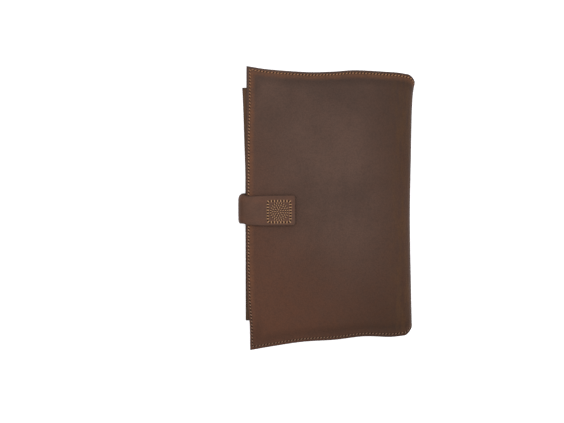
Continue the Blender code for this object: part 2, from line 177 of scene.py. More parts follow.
# stitches: one small capsule, stamped along a row
def stitchShape(length, width, rise):
    bpy.ops.mesh.primitive_uv_sphere_add(segments=8, ring_count=5, radius=0.5)
    shape = bpy.context.object
    shape.rotation_euler = (0, math.radians(90), 0)
    pickOnly(shape)
    bpy.ops.object.transform_apply(rotation=True)
    fullness = 0.6  # rounded ends on a straight middle
    co = placesOf(shape) * 2
    co[:, 0] = np.sign(co[:, 0]) * np.abs(co[:, 0]) ** fullness
    places = co * np.array([length, width, rise]) / 2
    faces = [tuple(face.vertices) for face in shape.data.polygons]
    bpy.data.objects.remove(shape, do_unlink=True)
    return places, faces


def alongRow(points, normals, pitch, closed=False):  # where each stitch sits on a row, and its frame
    points, normals = np.asarray(points, float), np.asarray(normals, float)
    if closed:
        points = np.vstack([points, points[:1]])
        normals = np.vstack([normals, normals[:1]])
    length = np.concatenate([[0], np.cumsum(np.linalg.norm(np.diff(points, axis=0), axis=1))])
    count = max(1, int(round(length[-1] / pitch)))
    step = length[-1] / count

    def read(values, at):
        return np.stack([np.interp(at, length, values[:, k]) for k in range(3)], axis=1)

    middle = (np.arange(count) + 0.5) * step
    heading = unit(read(points, middle + 0.3 * step) - read(points, middle - 0.3 * step))
    ends = np.arange(1 if closed else 0, count + 1) * step
    endHeading = unit(read(points, ends + 0.2 * step) - read(points, ends - 0.2 * step))
    stitches = (read(points, middle), heading, unit(read(normals, middle)))
    holes = (read(points, ends), endHeading, unit(read(normals, ends)))
    return stitches, holes


def stampRows(name, rows, look):  # rows is a list of (stitches, holes) from alongRow
    scatter = 0.05  # no two stitches lie quite alike, while the holes stay in line
    narrow = 0.8  # the width of a hole as a share of its length
    stitch = (0, *stitchShape(look["length"], look["width"], look["rise"]), look["lean"], look["sink"])
    # each hole is a flat dark disc of painted shadow
    hole = (1, *stitchShape(look["hole"], look["hole"] * narrow, look["holeRise"]), 0.0, 0.0)
    places, faces, kinds = [], [], []
    offset = 0
    seed = np.random.default_rng(look["seed"])
    for row in rows:
        for (kind, shape, shapeFaces, slant, sink), (middle, heading, normal) in zip((stitch, hole), row):
            sideways = unit(np.cross(normal, heading))
            lean = slant + seed.normal(0, scatter, len(middle)) * (kind == 0)
            forward = heading * np.cos(lean)[:, None] + sideways * np.sin(lean)[:, None]
            sideways = np.cross(normal, forward)
            size = 1 + seed.normal(0, scatter, len(middle)) * (kind == 0)
            axes = np.stack([forward * size[:, None], sideways, normal], axis=1)
            stamped = np.einsum("kj,nji->nki", shape, axes) + (middle - normal * sink)[:, None]
            places.append(stamped.reshape(-1, 3))
            for n in range(len(middle)):
                start = offset + n * len(shape)
                faces += [tuple(start + v for v in face) for face in shapeFaces]
                kinds += [kind] * len(shapeFaces)
            offset += len(middle) * len(shape)
    mesh = bpy.data.meshes.new(name)
    mesh.from_pydata(np.vstack(places).tolist(), [], faces)
    for material in (waxedThread, needleHole):
        mesh.materials.append(material)
    mesh.polygons.foreach_set("material_index", kinds)
    mesh.update()
    piece = bpy.data.objects.new(name, mesh)
    bpy.context.scene.collection.objects.link(piece)
    return settle(piece)


def linear(hexColour):  # an sRGB hex value as linear light
    parts = [int(hexColour[i : i + 2], 16) / 255 for i in (1, 3, 5)]
    return (*[c / 12.92 if c < 0.04045 else ((c + 0.055) / 1.055) ** 2.4 for c in parts], 1.0)


def addNode(tree, kind, settings=None, links=None):
    node = tree.nodes.new("ShaderNode" + kind)
    for name, value in (settings or {}).items():
        if isinstance(name, int) or name in node.inputs:
            node.inputs[name].default_value = value
        else:
            setattr(node, name, value)
    for name, socket in (links or {}).items():
        tree.links.new(socket, node.inputs[name])
    return node


def newMaterial(name, settings):
    material = bpy.data.materials.new(name)
    material.use_nodes = True
    shader = material.node_tree.nodes["Principled BSDF"]
    for key, value in settings.items():
        shader.inputs[key].default_value = value
    return material, material.node_tree, shader


def waxedLeather(name, look):
    # full-grain cowhide, drum-dyed and waxed: a broad cloudy patina, a fine pebble grain, a darker rim
    # along the cut edge, a pressed line where a seam runs, and painted shade by the seams and across the hide
    material, tree, shader = newMaterial(name, {"IOR": 1.48, "Specular IOR Level": look["gloss"]})
    shader.inputs["Specular Tint"].default_value = linear("#fff0e4")
    place = addNode(tree, "Attribute", {"attribute_name": "restPlace"}).outputs["Vector"]
    edge = addNode(tree, "Attribute", {"attribute_name": "edgeDistance"}).outputs["Fac"]
    spot = addNode(tree, "SeparateXYZ", links={"Vector": place})

    def edgeBand(middle, full, gone, most=1.0):  # a band that runs at a distance from the cut edge
        offset = addNode(tree, "Math", {"operation": "SUBTRACT", 1: middle}, {0: edge})
        away = addNode(tree, "Math", {"operation": "ABSOLUTE"}, {0: offset.outputs[0]})
        return addNode(
            tree, "MapRange", {"From Min": full, "From Max": gone, "To Min": most, "To Max": 0.0},
            {"Value": away.outputs[0]},
        )

    patina = addNode(
        tree, "TexNoise", {"Scale": 22.0, "Detail": 3.0, "Roughness": 0.55}, {"Vector": place}
    )  # cloudy patches about 45 mm across
    mottle = addNode(
        tree, "TexNoise", {"Scale": 150.0, "Detail": 4.0, "Roughness": 0.62}, {"Vector": place}
    )  # handling marks of about 7 mm
    grain = addNode(
        tree, "TexVoronoi", {"Scale": 800.0, "feature": "SMOOTH_F1", "Smoothness": 0.5}, {"Vector": place}
    )  # pebbles of about 1.2 mm
    pores = addNode(
        tree, "TexNoise", {"Scale": 2300.0, "Detail": 2.0, "Roughness": 0.6}, {"Vector": place}
    )  # hair pores, under half a millimetre

    clouds = addNode(
        tree, "MapRange", {"From Min": 0.36, "From Max": 0.64}, {"Value": patina.outputs["Fac"]}
    )
    toned = addNode(
        tree, "Mix", {"data_type": "RGBA", 6: linear(look["deep"]), 7: linear(look["pale"])},
        {0: clouds.outputs["Result"]},
    )
    for heading, low, high, share, toneColour in look["drift"]:  # the colour drifts slowly across the hide: partly dye, partly painted shade where less light falls
        slant = addNode(tree, "VectorMath", {"operation": "DOT_PRODUCT", 1: heading}, {0: place})
        amount = addNode(
            tree, "MapRange",
            {"interpolation_type": "SMOOTHSTEP", "From Min": low, "From Max": high, "To Max": share},
            {"Value": slant.outputs["Value"]},
        )
        toned = addNode(
            tree, "Mix", {"data_type": "RGBA", 7: linear(toneColour)},
            {0: amount.outputs["Result"], 6: toned.outputs[2]},
        )
    if look["fold"]:
        low, high, share, toneColour = look["fold"]
        drawn = addNode(tree, "VectorMath", {"operation": "MULTIPLY", 1: (1.0, 0.16, 0.5)}, {0: place})
        streaks = addNode(
            tree, "TexNoise", {"Scale": 260.0, "Detail": 3.0, "Roughness": 0.6}, {"Vector": drawn.outputs[0]}
        )  # lines about 4 mm apart and 25 mm long, where the hide was bent round the spine
        lines = addNode(
            tree, "MapRange", {"From Min": 0.42, "From Max": 0.62, "To Max": share},
            {"Value": streaks.outputs["Fac"]},
        )
        bent = addNode(
            tree, "MapRange", {"interpolation_type": "SMOOTHSTEP", "From Min": low, "From Max": high},
            {"Value": spot.outputs["X"]},
        )
        amount = addNode(
            tree, "Math", {"operation": "MULTIPLY"}, {0: lines.outputs["Result"], 1: bent.outputs["Result"]}
        )
        toned = addNode(
            tree, "Mix", {"data_type": "RGBA", 7: linear(toneColour)},
            {0: amount.outputs[0], 6: toned.outputs[2]},
        )

    worn = edgeBand(middle=3.9 * mm, full=0.6 * mm, gone=3.2 * mm, most=look["wear"])
    wornEnd = addNode(
        tree, "MapRange", {"From Min": -100 * mm, "From Max": -66 * mm, "To Min": 0.05},
        {"Value": spot.outputs["Y"]},
    )
    wornPatch = addNode(
        tree, "MapRange", {"From Min": 0.35, "From Max": 0.65, "To Min": 0.7, "To Max": 1.25},
        {"Value": mottle.outputs["Fac"]},
    )
    for factor in (wornEnd, wornPatch):
        worn = addNode(tree, "Math", {"operation": "MULTIPLY"}, {0: worn.outputs[0], 1: factor.outputs[0]})
    toned = addNode(
        tree, "Mix", {"data_type": "RGBA", 7: linear(look["rubbed"])},
        {0: worn.outputs[0], 6: toned.outputs[2]},
    )  # rubbed redder just inside the seam, in patches, and hardly at all at the tail

    shade = addNode(
        tree, "MapRange",
        {"From Min": 0.3, "From Max": 0.7, "To Min": 1 - look["mottle"], "To Max": 1 + look["mottle"]},
        {"Value": mottle.outputs["Fac"]},
    )
    speckled = addNode(
        tree, "MapRange",
        {"From Min": 0.0, "From Max": 0.9, "To Min": 1 + look["speckle"], "To Max": 1 - look["speckle"]},
        {"Value": grain.outputs["Distance"]},
    )
    # a darker rim by the cut edge: burnishing, and painted shade where the edge rounds away
    rim = addNode(
        tree, "MapRange", {"From Min": 0.1 * mm, "From Max": 0.8 * mm, "To Min": look["rim"]},
        {"Value": edge},
    )
    groove = edgeBand(middle=look["seam"], full=0.2 * mm, gone=1.0 * mm)
    # painted shade along the line that the seam has pressed
    paintedGrooveShade = addNode(
        tree, "MapRange", {"To Min": 1.0, "To Max": look["seamShade"]}, {"Value": groove.outputs["Result"]}
    )
    # painted shade: a darker band beside the head and tail seams
    hollow = edgeBand(middle=7.0 * mm, full=1.0 * mm, gone=5.5 * mm)
    fromMiddle = addNode(tree, "Math", {"operation": "ABSOLUTE"}, {0: spot.outputs["Y"]})
    hemEnds = addNode(
        tree, "MapRange", {"From Min": 84 * mm, "From Max": 96 * mm, "To Max": look["hem"]},
        {"Value": fromMiddle.outputs[0]},
    )
    hem = addNode(
        tree, "Math", {"operation": "MULTIPLY"}, {0: hollow.outputs["Result"], 1: hemEnds.outputs["Result"]}
    )  # painted shade in the hollow beside the head and tail seams, where the leather dips away from the light
    hemShade = addNode(tree, "Math", {"operation": "SUBTRACT", 0: 1.0}, {1: hem.outputs[0]})
    for factor in (speckled, hemShade, rim, paintedGrooveShade):
        shade = addNode(tree, "Math", {"operation": "MULTIPLY"}, {0: shade.outputs[0], 1: factor.outputs[0]})
    colour = addNode(
        tree, "VectorMath", {"operation": "SCALE"}, {0: toned.outputs[2], "Scale": shade.outputs[0]}
    )
    tree.links.new(colour.outputs[0], shader.inputs["Base Color"])

    dull = addNode(
        tree, "MapRange",
        {"From Min": 0.3, "From Max": 0.7, "To Min": look["rough"] - 0.06, "To Max": look["rough"] + 0.07},
        {"Value": mottle.outputs["Fac"]},
    )
    tree.links.new(dull.outputs["Result"], shader.inputs["Roughness"])
    relief = {}
    for strength, depth, sunk, height in (
        (0.7, 0.15 * mm, True, grain.outputs["Distance"]),  # pebbles
        (0.55, 0.07 * mm, False, pores.outputs["Fac"]),
        (0.5, 0.5 * mm, False, mottle.outputs["Fac"]),  # soft waves
        (0.6, 0.25 * mm, True, groove.outputs["Result"]),  # the line that the seam has pressed
    ):
        settings = {"Strength": strength, "Distance": depth, "invert": sunk}
        bump = addNode(tree, "Bump", settings, {"Height": height, **relief})
        relief = {"Normal": bump.outputs["Normal"]}
    tree.links.new(relief["Normal"], shader.inputs["Normal"])
    return material


def fibrous(name, look):
    # the flesh side of a hide, or a brushed suede: short matted fibre, no gloss, a soft nap
    material, tree, shader = newMaterial(
        name, {"Roughness": 0.95, "Specular IOR Level": 0.2, "Sheen Weight": 0.25, "Sheen Roughness": 0.5}
    )
    shader.inputs["Sheen Tint"].default_value = linear(look["nap"])
    place = addNode(tree, "Attribute", {"attribute_name": "restPlace"}).outputs["Vector"]
    nap = addNode(
        tree, "TexNoise", {"Scale": 45.0, "Detail": 3.0, "Roughness": 0.6}, {"Vector": place}
    )  # brushed patches of about 20 mm
    fibre = addNode(
        tree, "TexNoise", {"Scale": 1600.0, "Detail": 4.0, "Roughness": 0.75}, {"Vector": place}
    )  # fibre tufts of about 0.6 mm
    patches = addNode(tree, "MapRange", {"From Min": 0.35, "From Max": 0.65}, {"Value": nap.outputs["Fac"]})
    brushed = addNode(
        tree, "Mix", {"data_type": "RGBA", 6: linear(look["deep"]), 7: linear(look["pale"])},
        {0: patches.outputs["Result"]},
    )
    tufts = addNode(
        tree, "MapRange", {"From Min": 0.3, "From Max": 0.7, "To Min": 0.8, "To Max": 1.2},
        {"Value": fibre.outputs["Fac"]},
    )
    colour = addNode(
        tree, "VectorMath", {"operation": "SCALE"}, {0: brushed.outputs[2], "Scale": tufts.outputs["Result"]}
    )
    tree.links.new(colour.outputs[0], shader.inputs["Base Color"])
    bump = addNode(tree, "Bump", {"Strength": 0.5, "Distance": 0.15 * mm}, {"Height": fibre.outputs["Fac"]})
    tree.links.new(bump.outputs["Normal"], shader.inputs["Normal"])
    return material


def burnished(name, look):
    # a cut leather edge, dyed dark and rubbed smooth with wax, with the hide's layers just showing
    material, tree, shader = newMaterial(name, {"IOR": 1.48, "Roughness": 0.55, "Specular IOR Level": 0.25})
    place = addNode(tree, "Attribute", {"attribute_name": "restPlace"}).outputs["Vector"]
    streaks = addNode(
        tree, "TexNoise", {"Scale": 420.0, "Detail": 4.0, "Roughness": 0.7}, {"Vector": place}
    )  # rubbing streaks of about 2.5 mm
    share = addNode(tree, "MapRange", {"From Min": 0.35, "From Max": 0.65}, {"Value": streaks.outputs["Fac"]})
    colour = addNode(
        tree, "Mix", {"data_type": "RGBA", 6: linear(look["deep"]), 7: linear(look["pale"])},
        {0: share.outputs["Result"]},
    )
    tree.links.new(colour.outputs[2], shader.inputs["Base Color"])
    bump = addNode(tree, "Bump", {"Strength": 0.4, "Distance": 0.1 * mm}, {"Height": streaks.outputs["Fac"]})
    tree.links.new(bump.outputs["Normal"], shader.inputs["Normal"])
    return material


coverLeather = waxedLeather(
    "waxedPullUpCowhide",
    {
        "deep": "#3b2a23", "pale": "#45322a", "rubbed": "#583622", "hem": 0.18,
        "drift": [  # heading, from, to, share and colour; painted shade for the most part: darker and browner toward the tail and the spine
            ((0, -1, 0), -10 * mm, 112 * mm, 0.85, "#341a0b"),
            ((1, 0, 0), 22 * mm, 68 * mm, 0.75, "#331d11"),
            ((-1, -0.5, 0), -10 * mm, 90 * mm, 0.7, "#482a1c"),
            ((0.6, 0.8, 0), 50 * mm, 105 * mm, 0.4, "#2f201a"),
            # painted shade along the tail edge, where the cover bends down
            ((0.3, -1, 0), 80 * mm, 116 * mm, 0.3, "#221208"),
        ],
        "fold": (48 * mm, 62 * mm, 0.42, "#432b14"),  # from, full, share and stain
        "mottle": 0.10, "speckle": 0.14, "rim": 0.7, "wear": 0.6, "seam": 2.4 * mm, "seamShade": 0.8,
        "gloss": 0.2, "rough": 0.56,
    },
)
strapLeather = waxedLeather(
    "waxedStrapCowhide",
    {
        "deep": "#452e24", "pale": "#50392f", "rubbed": "#573626", "hem": 0.0,
        "drift": [((-1, 0, 0), 50 * mm, 68 * mm, 0.6, "#3a2418")],
        "fold": None,
        "mottle": 0.10, "speckle": 0.10, "rim": 0.5, "wear": 0.2,
        "seam": 90 * mm, "seamShade": 1.0,  # no seam runs along its edge
        "gloss": 0.2, "rough": 0.54,
    },
)
pocketLeather = waxedLeather(
    "skivedPocketCowhide",
    {
        "deep": "#463121", "pale": "#553d2d", "rubbed": "#5f4330", "hem": 0.0,
        "drift": [
            ((-1, 0, 0), 40 * mm, 64 * mm, 0.3, "#3f2b1e"),
            ((0, -1, 0), -50 * mm, 60 * mm, 0.45, "#2c1d14"),
        ],
        "fold": None,
        "mottle": 0.10, "speckle": 0.08, "rim": 0.5, "wear": 0.3, "seam": 5.0 * mm, "seamShade": 0.85,
        "gloss": 0.2, "rough": 0.6,
    },
)
fleshSide = fibrous("napFleshSide", {"deep": "#4a3424", "pale": "#5c4230", "nap": "#8a7058"})
liningSuede = fibrous("brushedMicrosuede", {"deep": "#4c3627", "pale": "#5e4636", "nap": "#94806a"})
burnishedEdge = burnished("burnishedCutEdge", {"deep": "#22150e", "pale": "#3c2618"})
coverHide = (coverLeather, fleshSide, burnishedEdge)  # face, inner side and cut edge of a sheet
strapHide = (strapLeather, fleshSide, burnishedEdge)
pocketHide = (pocketLeather, fleshSide, burnishedEdge)
suede = (liningSuede, liningSuede, liningSuede)

# spun polyester thread drawn through beeswax: a low sheen, twisted plies of about 0.3 mm
waxedThread, tree, shader = newMaterial("waxedSpunThread", {"Roughness": 0.55, "Sheen Weight": 0.1})
place = addNode(tree, "Attribute", {"attribute_name": "restPlace"}).outputs["Vector"]
spot = addNode(tree, "SeparateXYZ", links={"Vector": place})
dye = addNode(tree, "TexNoise", {"Scale": 120.0, "Detail": 2.0}, {"Vector": place})
plies = addNode(
    tree, "Mix", {"data_type": "RGBA", 6: linear("#7a563c"), 7: linear("#9d7553")}, {0: dye.outputs["Fac"]}
)
fromStrap = addNode(tree, "Math", {"operation": "ADD", 1: 3 * mm}, {0: spot.outputs["Y"]})
beside = addNode(tree, "Math", {"operation": "ABSOLUTE"}, {0: fromStrap.outputs[0]})
for reading, low, high, share, toneColour in (
    (spot.outputs["Y"], 25, 95, 0.75, "#84562e"),  # the dye has taken more orange at the head
    (spot.outputs["Y"], -10, -96, 0.95, "#5f402a"),  # darker toward the tail
    (beside.outputs[0], 14, 11, 0.7, "#906b42"),  # the strap was sewn with a more golden reel
):
    amount = addNode(
        tree, "MapRange", {"From Min": low * mm, "From Max": high * mm, "To Max": share}, {"Value": reading}
    )
    plies = addNode(
        tree, "Mix", {"data_type": "RGBA", 7: linear(toneColour)},
        {0: amount.outputs["Result"], 6: plies.outputs[2]},
    )
tree.links.new(plies.outputs[2], shader.inputs["Base Color"])
twist = addNode(
    tree, "TexWave", {"Scale": 500.0, "Distortion": 2.0, "Detail": 1.0, "bands_direction": "DIAGONAL"},
    {"Vector": place},
)
bump = addNode(tree, "Bump", {"Strength": 0.4, "Distance": 0.08 * mm}, {"Height": twist.outputs["Fac"]})
tree.links.new(bump.outputs["Normal"], shader.inputs["Normal"])

# painted shadow: a dark disc for the shade inside a needle hole, mottled a little
needleHole, tree, shader = newMaterial("needleHoleShade", {"Roughness": 0.9, "Specular IOR Level": 0.1})
place = addNode(tree, "Attribute", {"attribute_name": "restPlace"}).outputs["Vector"]
holeMottle = addNode(tree, "TexNoise", {"Scale": 900.0}, {"Vector": place})
bore = addNode(
    tree, "Mix", {"data_type": "RGBA", 6: linear("#140c07"), 7: linear("#241810")}, {0: holeMottle.outputs["Fac"]}
)
tree.links.new(bore.outputs[2], shader.inputs["Base Color"])

# stamped steel discs, barrel-plated in nickel: bright, with fine tumbling marks
platedSteel, tree, shader = newMaterial("nickelPlatedSteel", {"Metallic": 1.0})
place = addNode(tree, "TexCoord").outputs["Object"]
marks = addNode(tree, "TexNoise", {"Scale": 1500.0, "Detail": 3.0}, {"Vector": place})
tone = addNode(
    tree, "Mix", {"data_type": "RGBA", 6: linear("#b4b0a6"), 7: linear("#d0ccc2")}, {0: marks.outputs["Fac"]}
)
polish = addNode(tree, "MapRange", {"To Min": 0.22, "To Max": 0.4}, {"Value": marks.outputs["Fac"]})
tree.links.new(tone.outputs[2], shader.inputs["Base Color"])
tree.links.new(polish.outputs["Result"], shader.inputs["Roughness"])
for name in ("keeper_disc", "strap_magnet"):
    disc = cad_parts[name]
    disc.data.materials.clear()
    disc.data.materials.append(platedSteel)
print("materials made")

# covers: each is one sheet from the opening edge round to the middle of the spine
holder = {
    "thick": side("front_cover", 1, "z"),
    "spine": side("spine_cover", 1, "x"),
    "wall": 1.8 * mm,
    "lining": 0.5 * mm,
    "liningInset": 1.0 * mm,
    "seamInset": 2.4 * mm,
    "headPull": 6.0 * mm,  # the spine's leather draws in round the fold
    "tailPull": 6.5 * mm,
    "mesh": 2.0 * mm,
    "arcMesh": 0.75 * mm,  # finer round the fold
    "gap": 0.03 * mm,  # between leather and lining
    "liningEased": 0.12 * mm,
}
foldRadius = holder["thick"] / 2
foldX = holder["spine"] - foldRadius
headLine = curveThrough(
    [
        (-62, 113), (-46, 110.4), (-27, 108.8), (-8, 107.9), (8, 108.4),
        (23, 109.5), (48, 108), (54, 107.5), (62, 106.1),
    ]
)
tailLine = curveThrough(
    [(-59, -113.5), (-42, -110.5), (-14, -106.5), (8, -105.2), (34, -102.3), (50, -102.8), (62, -101.6)]
)
openingLine = curveThrough(
    [(-113, -58.6), (-96, -58.8), (-74, -60.3), (-36, -61.2), (40, -61.3), (112, -61.6)]
)
spineDrift = curveThrough([(-101, 2.6), (-70, 1.9), (-7, 0.9), (41, 1.7), (75, 2.4), (90, 3.2), (102, 5.2)])
seamShift = curveThrough([(-113, -0.4), (-85, -0.9), (10, -0.9), (55, -0.6), (85, 0.3), (113, 0.6)])
headY = float(headLine(-1.0))
tailY = float(tailLine(-1.0))
sag = {
    "headDroop": 1.3 * mm,  # the front cover's ends droop past what is inside it
    "tailDroop": 1.5 * mm,
    "lipDroop": 0.5 * mm,  # and so does its opening edge, away from the strap
    "wave": 0.22 * mm,
    "hollow": 0.3 * mm,  # a shallow hollow runs beside the head and tail seams
    "hollowAt": 7 * mm,
    "lift": 0.1 * mm,
    "headCurl": 0.9 * mm,  # the back cover's free corners lift off the table a little
    "tailCurl": 0.7 * mm,
}


def frontSag(x, y):
    ends = ease(y, 92 * mm, 112 * mm) * sag["headDroop"] + ease(-y, 90 * mm, 112 * mm) * sag["tailDroop"]
    lip = ease(-x, 48 * mm, 62 * mm) * sag["lipDroop"] * (1 - np.exp(-((y / (26 * mm)) ** 2)))
    wave = sag["wave"] * np.sin(x / (17 * mm) + 1.2) * np.sin(y / (29 * mm) + 0.4)
    for near in (headLine(x) - y, y - tailLine(x)):
        hollow = np.exp(-(((near - sag["hollowAt"]) / (3 * mm)) ** 2))
        wave = wave - sag["hollow"] * hollow * ease(x, -60 * mm, 10 * mm)
    return wave + sag["lift"] - (ends + lip) * ease(foldX - x, 0, 35 * mm)


def backSag(x, y):
    ends = ease(y, 96 * mm, 112 * mm) * sag["headCurl"] + ease(-y, 92 * mm, 112 * mm) * sag["tailCurl"]
    return ends * ease(foldX - x, 0, 60 * mm)


def coverLines(s, t, inset):  # s runs from -1 at the opening edge, by 0 at the fold, to 1 mid-spine
    opening = openingLine(tailY + t * (headY - tailY)) + inset
    flat = np.minimum(s, 0) * (foldX - opening)
    turn = np.maximum(s, 0) * math.pi / 2
    pull = np.sin(turn) ** 2
    high = headLine(foldX + flat) - inset - holder["headPull"] * pull
    low = tailLine(foldX + flat) + inset + holder["tailPull"] * pull
    return opening, flat, turn, high - low, low + t * (high - low)


def coverPlace(inset, depth, back):
    def place(s, t):
        _, flat, turn, _, y = coverLines(s, t, inset)
        reach = foldRadius - depth
        x = foldX + flat + reach * np.sin(turn)
        sag = (backSag if back else frontSag)(x, y) * np.cos(turn) ** 2
        z = foldRadius + reach * np.cos(turn) * (-1 if back else 1) + sag
        return stack(x + spineDrift(y) * ease(flat, -55 * mm, 0), y, z)

    return place


def coverEdge(inset):  # how far each point is from the nearest cut edge
    def edgeOf(s, t):
        opening, _, _, tall, y = coverLines(s, t, inset)
        fromOpening = (s + 1) * (foldX - opening) - seamShift(y)
        return np.minimum(fromOpening, np.minimum(t, 1 - t) * tall)

    return edgeOf


lastRow = 0.005  # the last row at mid-spine is thin, so both covers shade alike where they meet
coverReach = foldX + 61 * mm  # from the opening edge to the fold
acrossFlat = spread(-1, 0, holder["mesh"] / coverReach)
acrossArc = spread(0, 1, holder["arcMesh"] / (foldRadius * math.pi / 2))
across = np.concatenate([acrossFlat, acrossArc[1:-1], [1 - lastRow, 1]])
alongEdge = spread(0, 1, holder["mesh"] / (headY - tailY))


def midSpine(co):  # the hidden join between the two covers
    return abs(co.z - foldRadius) < 0.02 * mm and co.x > foldX


for half, back, coverNodes, liningNodes in (
    ("front", False, ("front_cover",), ("front_lining",)),
    ("back", True, ("back_cover", "spine_cover"), ("back_lining", "spine_lining")),
):
    facing = -1 if back else 1

    cover = newSheet(half + "CoverLeather", across, alongEdge, coverPlace(0, 0, back), coverEdge(0), facing)
    giveWall(cover, holder["wall"], coverHide, midSpine)
    settle(cover)
    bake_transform(cover)
    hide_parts(*coverNodes)

    inset, depth = holder["liningInset"], holder["wall"] + holder["gap"]
    lining = newSheet(
        half + "LiningSuede", across, alongEdge, coverPlace(inset, depth, back), coverEdge(inset), facing
    )
    giveWall(lining, holder["lining"], suede, midSpine, holder["liningEased"])
    settle(lining)
    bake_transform(lining)
    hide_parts(*liningNodes)
print("covers and linings laid")

# the edge seam of each cover, seen outside and inside
seamLook = {
    "pitch": 2.6 * mm, "length": 2.1 * mm, "width": 0.75 * mm, "rise": 0.5 * mm, "sink": 0.1 * mm,
    "hole": 1.5 * mm, "holeRise": 0.08 * mm, "lean": 0.42, "seed": 4,
}


def coverSeam(depth, back, outward):  # head from mid-spine, down the opening edge, tail back to mid-spine
    steps = 240
    down = np.linspace(1, -1, steps)
    s = np.concatenate([down, np.full(steps, -1.0), down[::-1]])
    t = np.concatenate([np.ones(steps), np.linspace(1, 0, steps), np.zeros(steps)])
    points = coverPlace(holder["seamInset"], depth, back)(s, t)
    inner = coverPlace(holder["seamInset"], depth + 0.2 * mm, back)(s, t)
    normals = unit(points - inner) * outward
    points[:, 0] += seamShift(points[:, 1]) * ease(-s, 0.85, 1.0)  # it wanders along the opening edge
    return points, normals


insideDepth = holder["wall"] + holder["lining"] + holder["gap"]
for half, back, threadNodes in (
    ("front", False, ("front_seam_thread", "spine_thread_head")),
    ("back", True, ("back_seam_thread", "spine_thread_tail")),
):
    rows = [
        alongRow(*coverSeam(depth, back, outward), seamLook["pitch"])
        for depth, outward in ((0, 1), (insideDepth, -1))
    ]
    seam = stampRows(half + "CoverSeam", rows, seamLook)
    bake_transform(seam)
    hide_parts(*threadNodes)
print("cover seams sewn")


# flat leather panels inside the holder
def panel(name, look, facing=1, notch=0.0, height=None):
    # a piece of pocket leather; the head edge may dip to a thumb notch, and the left edge may be a curve
    notchHalf = 14 * mm
    x0, x1, y0, y1 = look["box"]
    leftLine = look.get("left", lambda y: np.full_like(y, x0))

    def lay(s, t):
        left = leftLine(y0 + t * (y1 - y0))
        x = left + s * (x1 - left)
        dip = notch * np.exp(-(((x - (x0 + x1) / 2) / notchHalf) ** 4))
        y = y0 + t * (y1 - dip - y0)
        return x, y

    def place(s, t):
        x, y = lay(s, t)
        z = look["z"] + (height(x, y) if height else 0)
        return stack(x, y, z)

    def edgeOf(s, t):
        x, y = lay(s, t)
        return np.minimum(np.minimum(s, 1 - s) * (x1 - x0), np.minimum(t, 1 - t) * (y1 - y0))

    columns, rows = (spread(0, 1, look["mesh"] / size) for size in (x1 - x0, y1 - y0))
    piece = newSheet(name, columns, rows, place, edgeOf, facing)
    giveWall(piece, look["wall"], pocketHide, eased=look["eased"])
    return settle(piece)


def threeSides(left, right, foot, head):  # down one side, along the foot and up the other
    return [(left, head), (left, foot), (right, foot), (right, head)]


def rowOn(corners, height, up, step=0.5 * mm):  # a row through flat corners, at the height of a surface
    corners = np.asarray(corners, float)
    points = []
    for a, b in zip(corners[:-1], corners[1:]):
        n = max(2, int(np.linalg.norm(b - a) / step))
        points.append(a + (b - a) * np.linspace(0, 1, n, endpoint=False)[:, None])
    flat = np.vstack([*points, corners[-1:]])
    z = height(flat[:, 0], flat[:, 1]) if callable(height) else np.full(len(flat), height)
    return stack(flat[:, 0], flat[:, 1], z), np.tile([0.0, 0.0, up], (len(flat), 1))


innerSeam = {
    "pitch": 2.8 * mm, "length": 2.1 * mm, "width": 0.6 * mm, "rise": 0.4 * mm, "sink": 0.06 * mm,
    "hole": 0.5 * mm, "holeRise": 0.08 * mm, "lean": 0.12, "seed": 9,
}

# the leaf: two plies sewn on three sides, open at the head, its free edge slightly bowed
leafEdge = curveThrough([(-90, -62.2), (-40, -62.3), (26, -62.5), (52, -63.3), (80, -64.2), (96, -65.0)])
leaf = {
    "spineSide": side("leaf_front_ply", 1, "x"),
    "foot": side("leaf_front_ply", 0, "y") - 0.7 * mm,
    "head": side("leaf_front_ply", 1, "y") + 0.9 * mm,
    "wall": 0.7 * mm,
    "thumbNotch": 9 * mm,
    "seamInset": 5.0 * mm,
    "seamEnd": 1.0 * mm,  # the row stops this far below the open head
}
for name, node, facing, notch in (
    ("leafBackPly", "leaf_back_ply", -1, 0.0),
    ("leafFrontPly", "leaf_front_ply", 1, leaf["thumbNotch"]),
):
    ply = panel(
        name,
        {
            "box": (side(node, 0, "x"), leaf["spineSide"], leaf["foot"], leaf["head"]), "left": leafEdge,
            "z": side(node, 1 if facing > 0 else 0, "z"),
            "wall": leaf["wall"], "mesh": 2.6 * mm, "eased": 0.18 * mm,
        },
        facing,
        notch,
    )
    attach(ply, "leaf")
    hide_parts(node)
foot, head = leaf["foot"] + leaf["seamInset"], leaf["head"] - leaf["seamEnd"]
right = leaf["spineSide"] - leaf["seamInset"]
free = [(float(leafEdge(y)) + leaf["seamInset"], y) for y in np.linspace(head, foot, 90)]
leafRows = [
    alongRow(*rowOn([*free, (right, foot), (right, head)], side(node, corner, "z"), up), innerSeam["pitch"])
    for node, corner, up in (("leaf_front_ply", 1, 1.0), ("leaf_back_ply", 0, -1.0))
]
leafSeam = stampRows("leafSeam", leafRows, innerSeam)
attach(leafSeam, "leaf")
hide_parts("leaf_thread")

# the tongue that hinges the leaf to the spine
tongue = {
    "lap": 6 * mm,  # how far it runs in between the plies
    "below": 0.28 * mm, "wall": 0.26 * mm, "mesh": 1.2 * mm, "eased": 0.06 * mm,
    "axisIn": 1.2 * mm, "bend": 1.4 * mm,  # where it turns on the holder, and half the width that turns; the strip is laid flat here
}
tongueX, tongueEnd, tongueFoot, tongueHead = outlineOf("leaf_tongue")
tongue["box"] = (leaf["spineSide"] - tongue["lap"], tongueEnd, tongueFoot, tongueHead)
tongue["z"] = side("leaf_tongue", 1, "z") - tongue["below"]
tongueStrip = panel("leafTongue", tongue)
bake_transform(tongueStrip)
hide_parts("leaf_tongue")
print("leaf bound in")

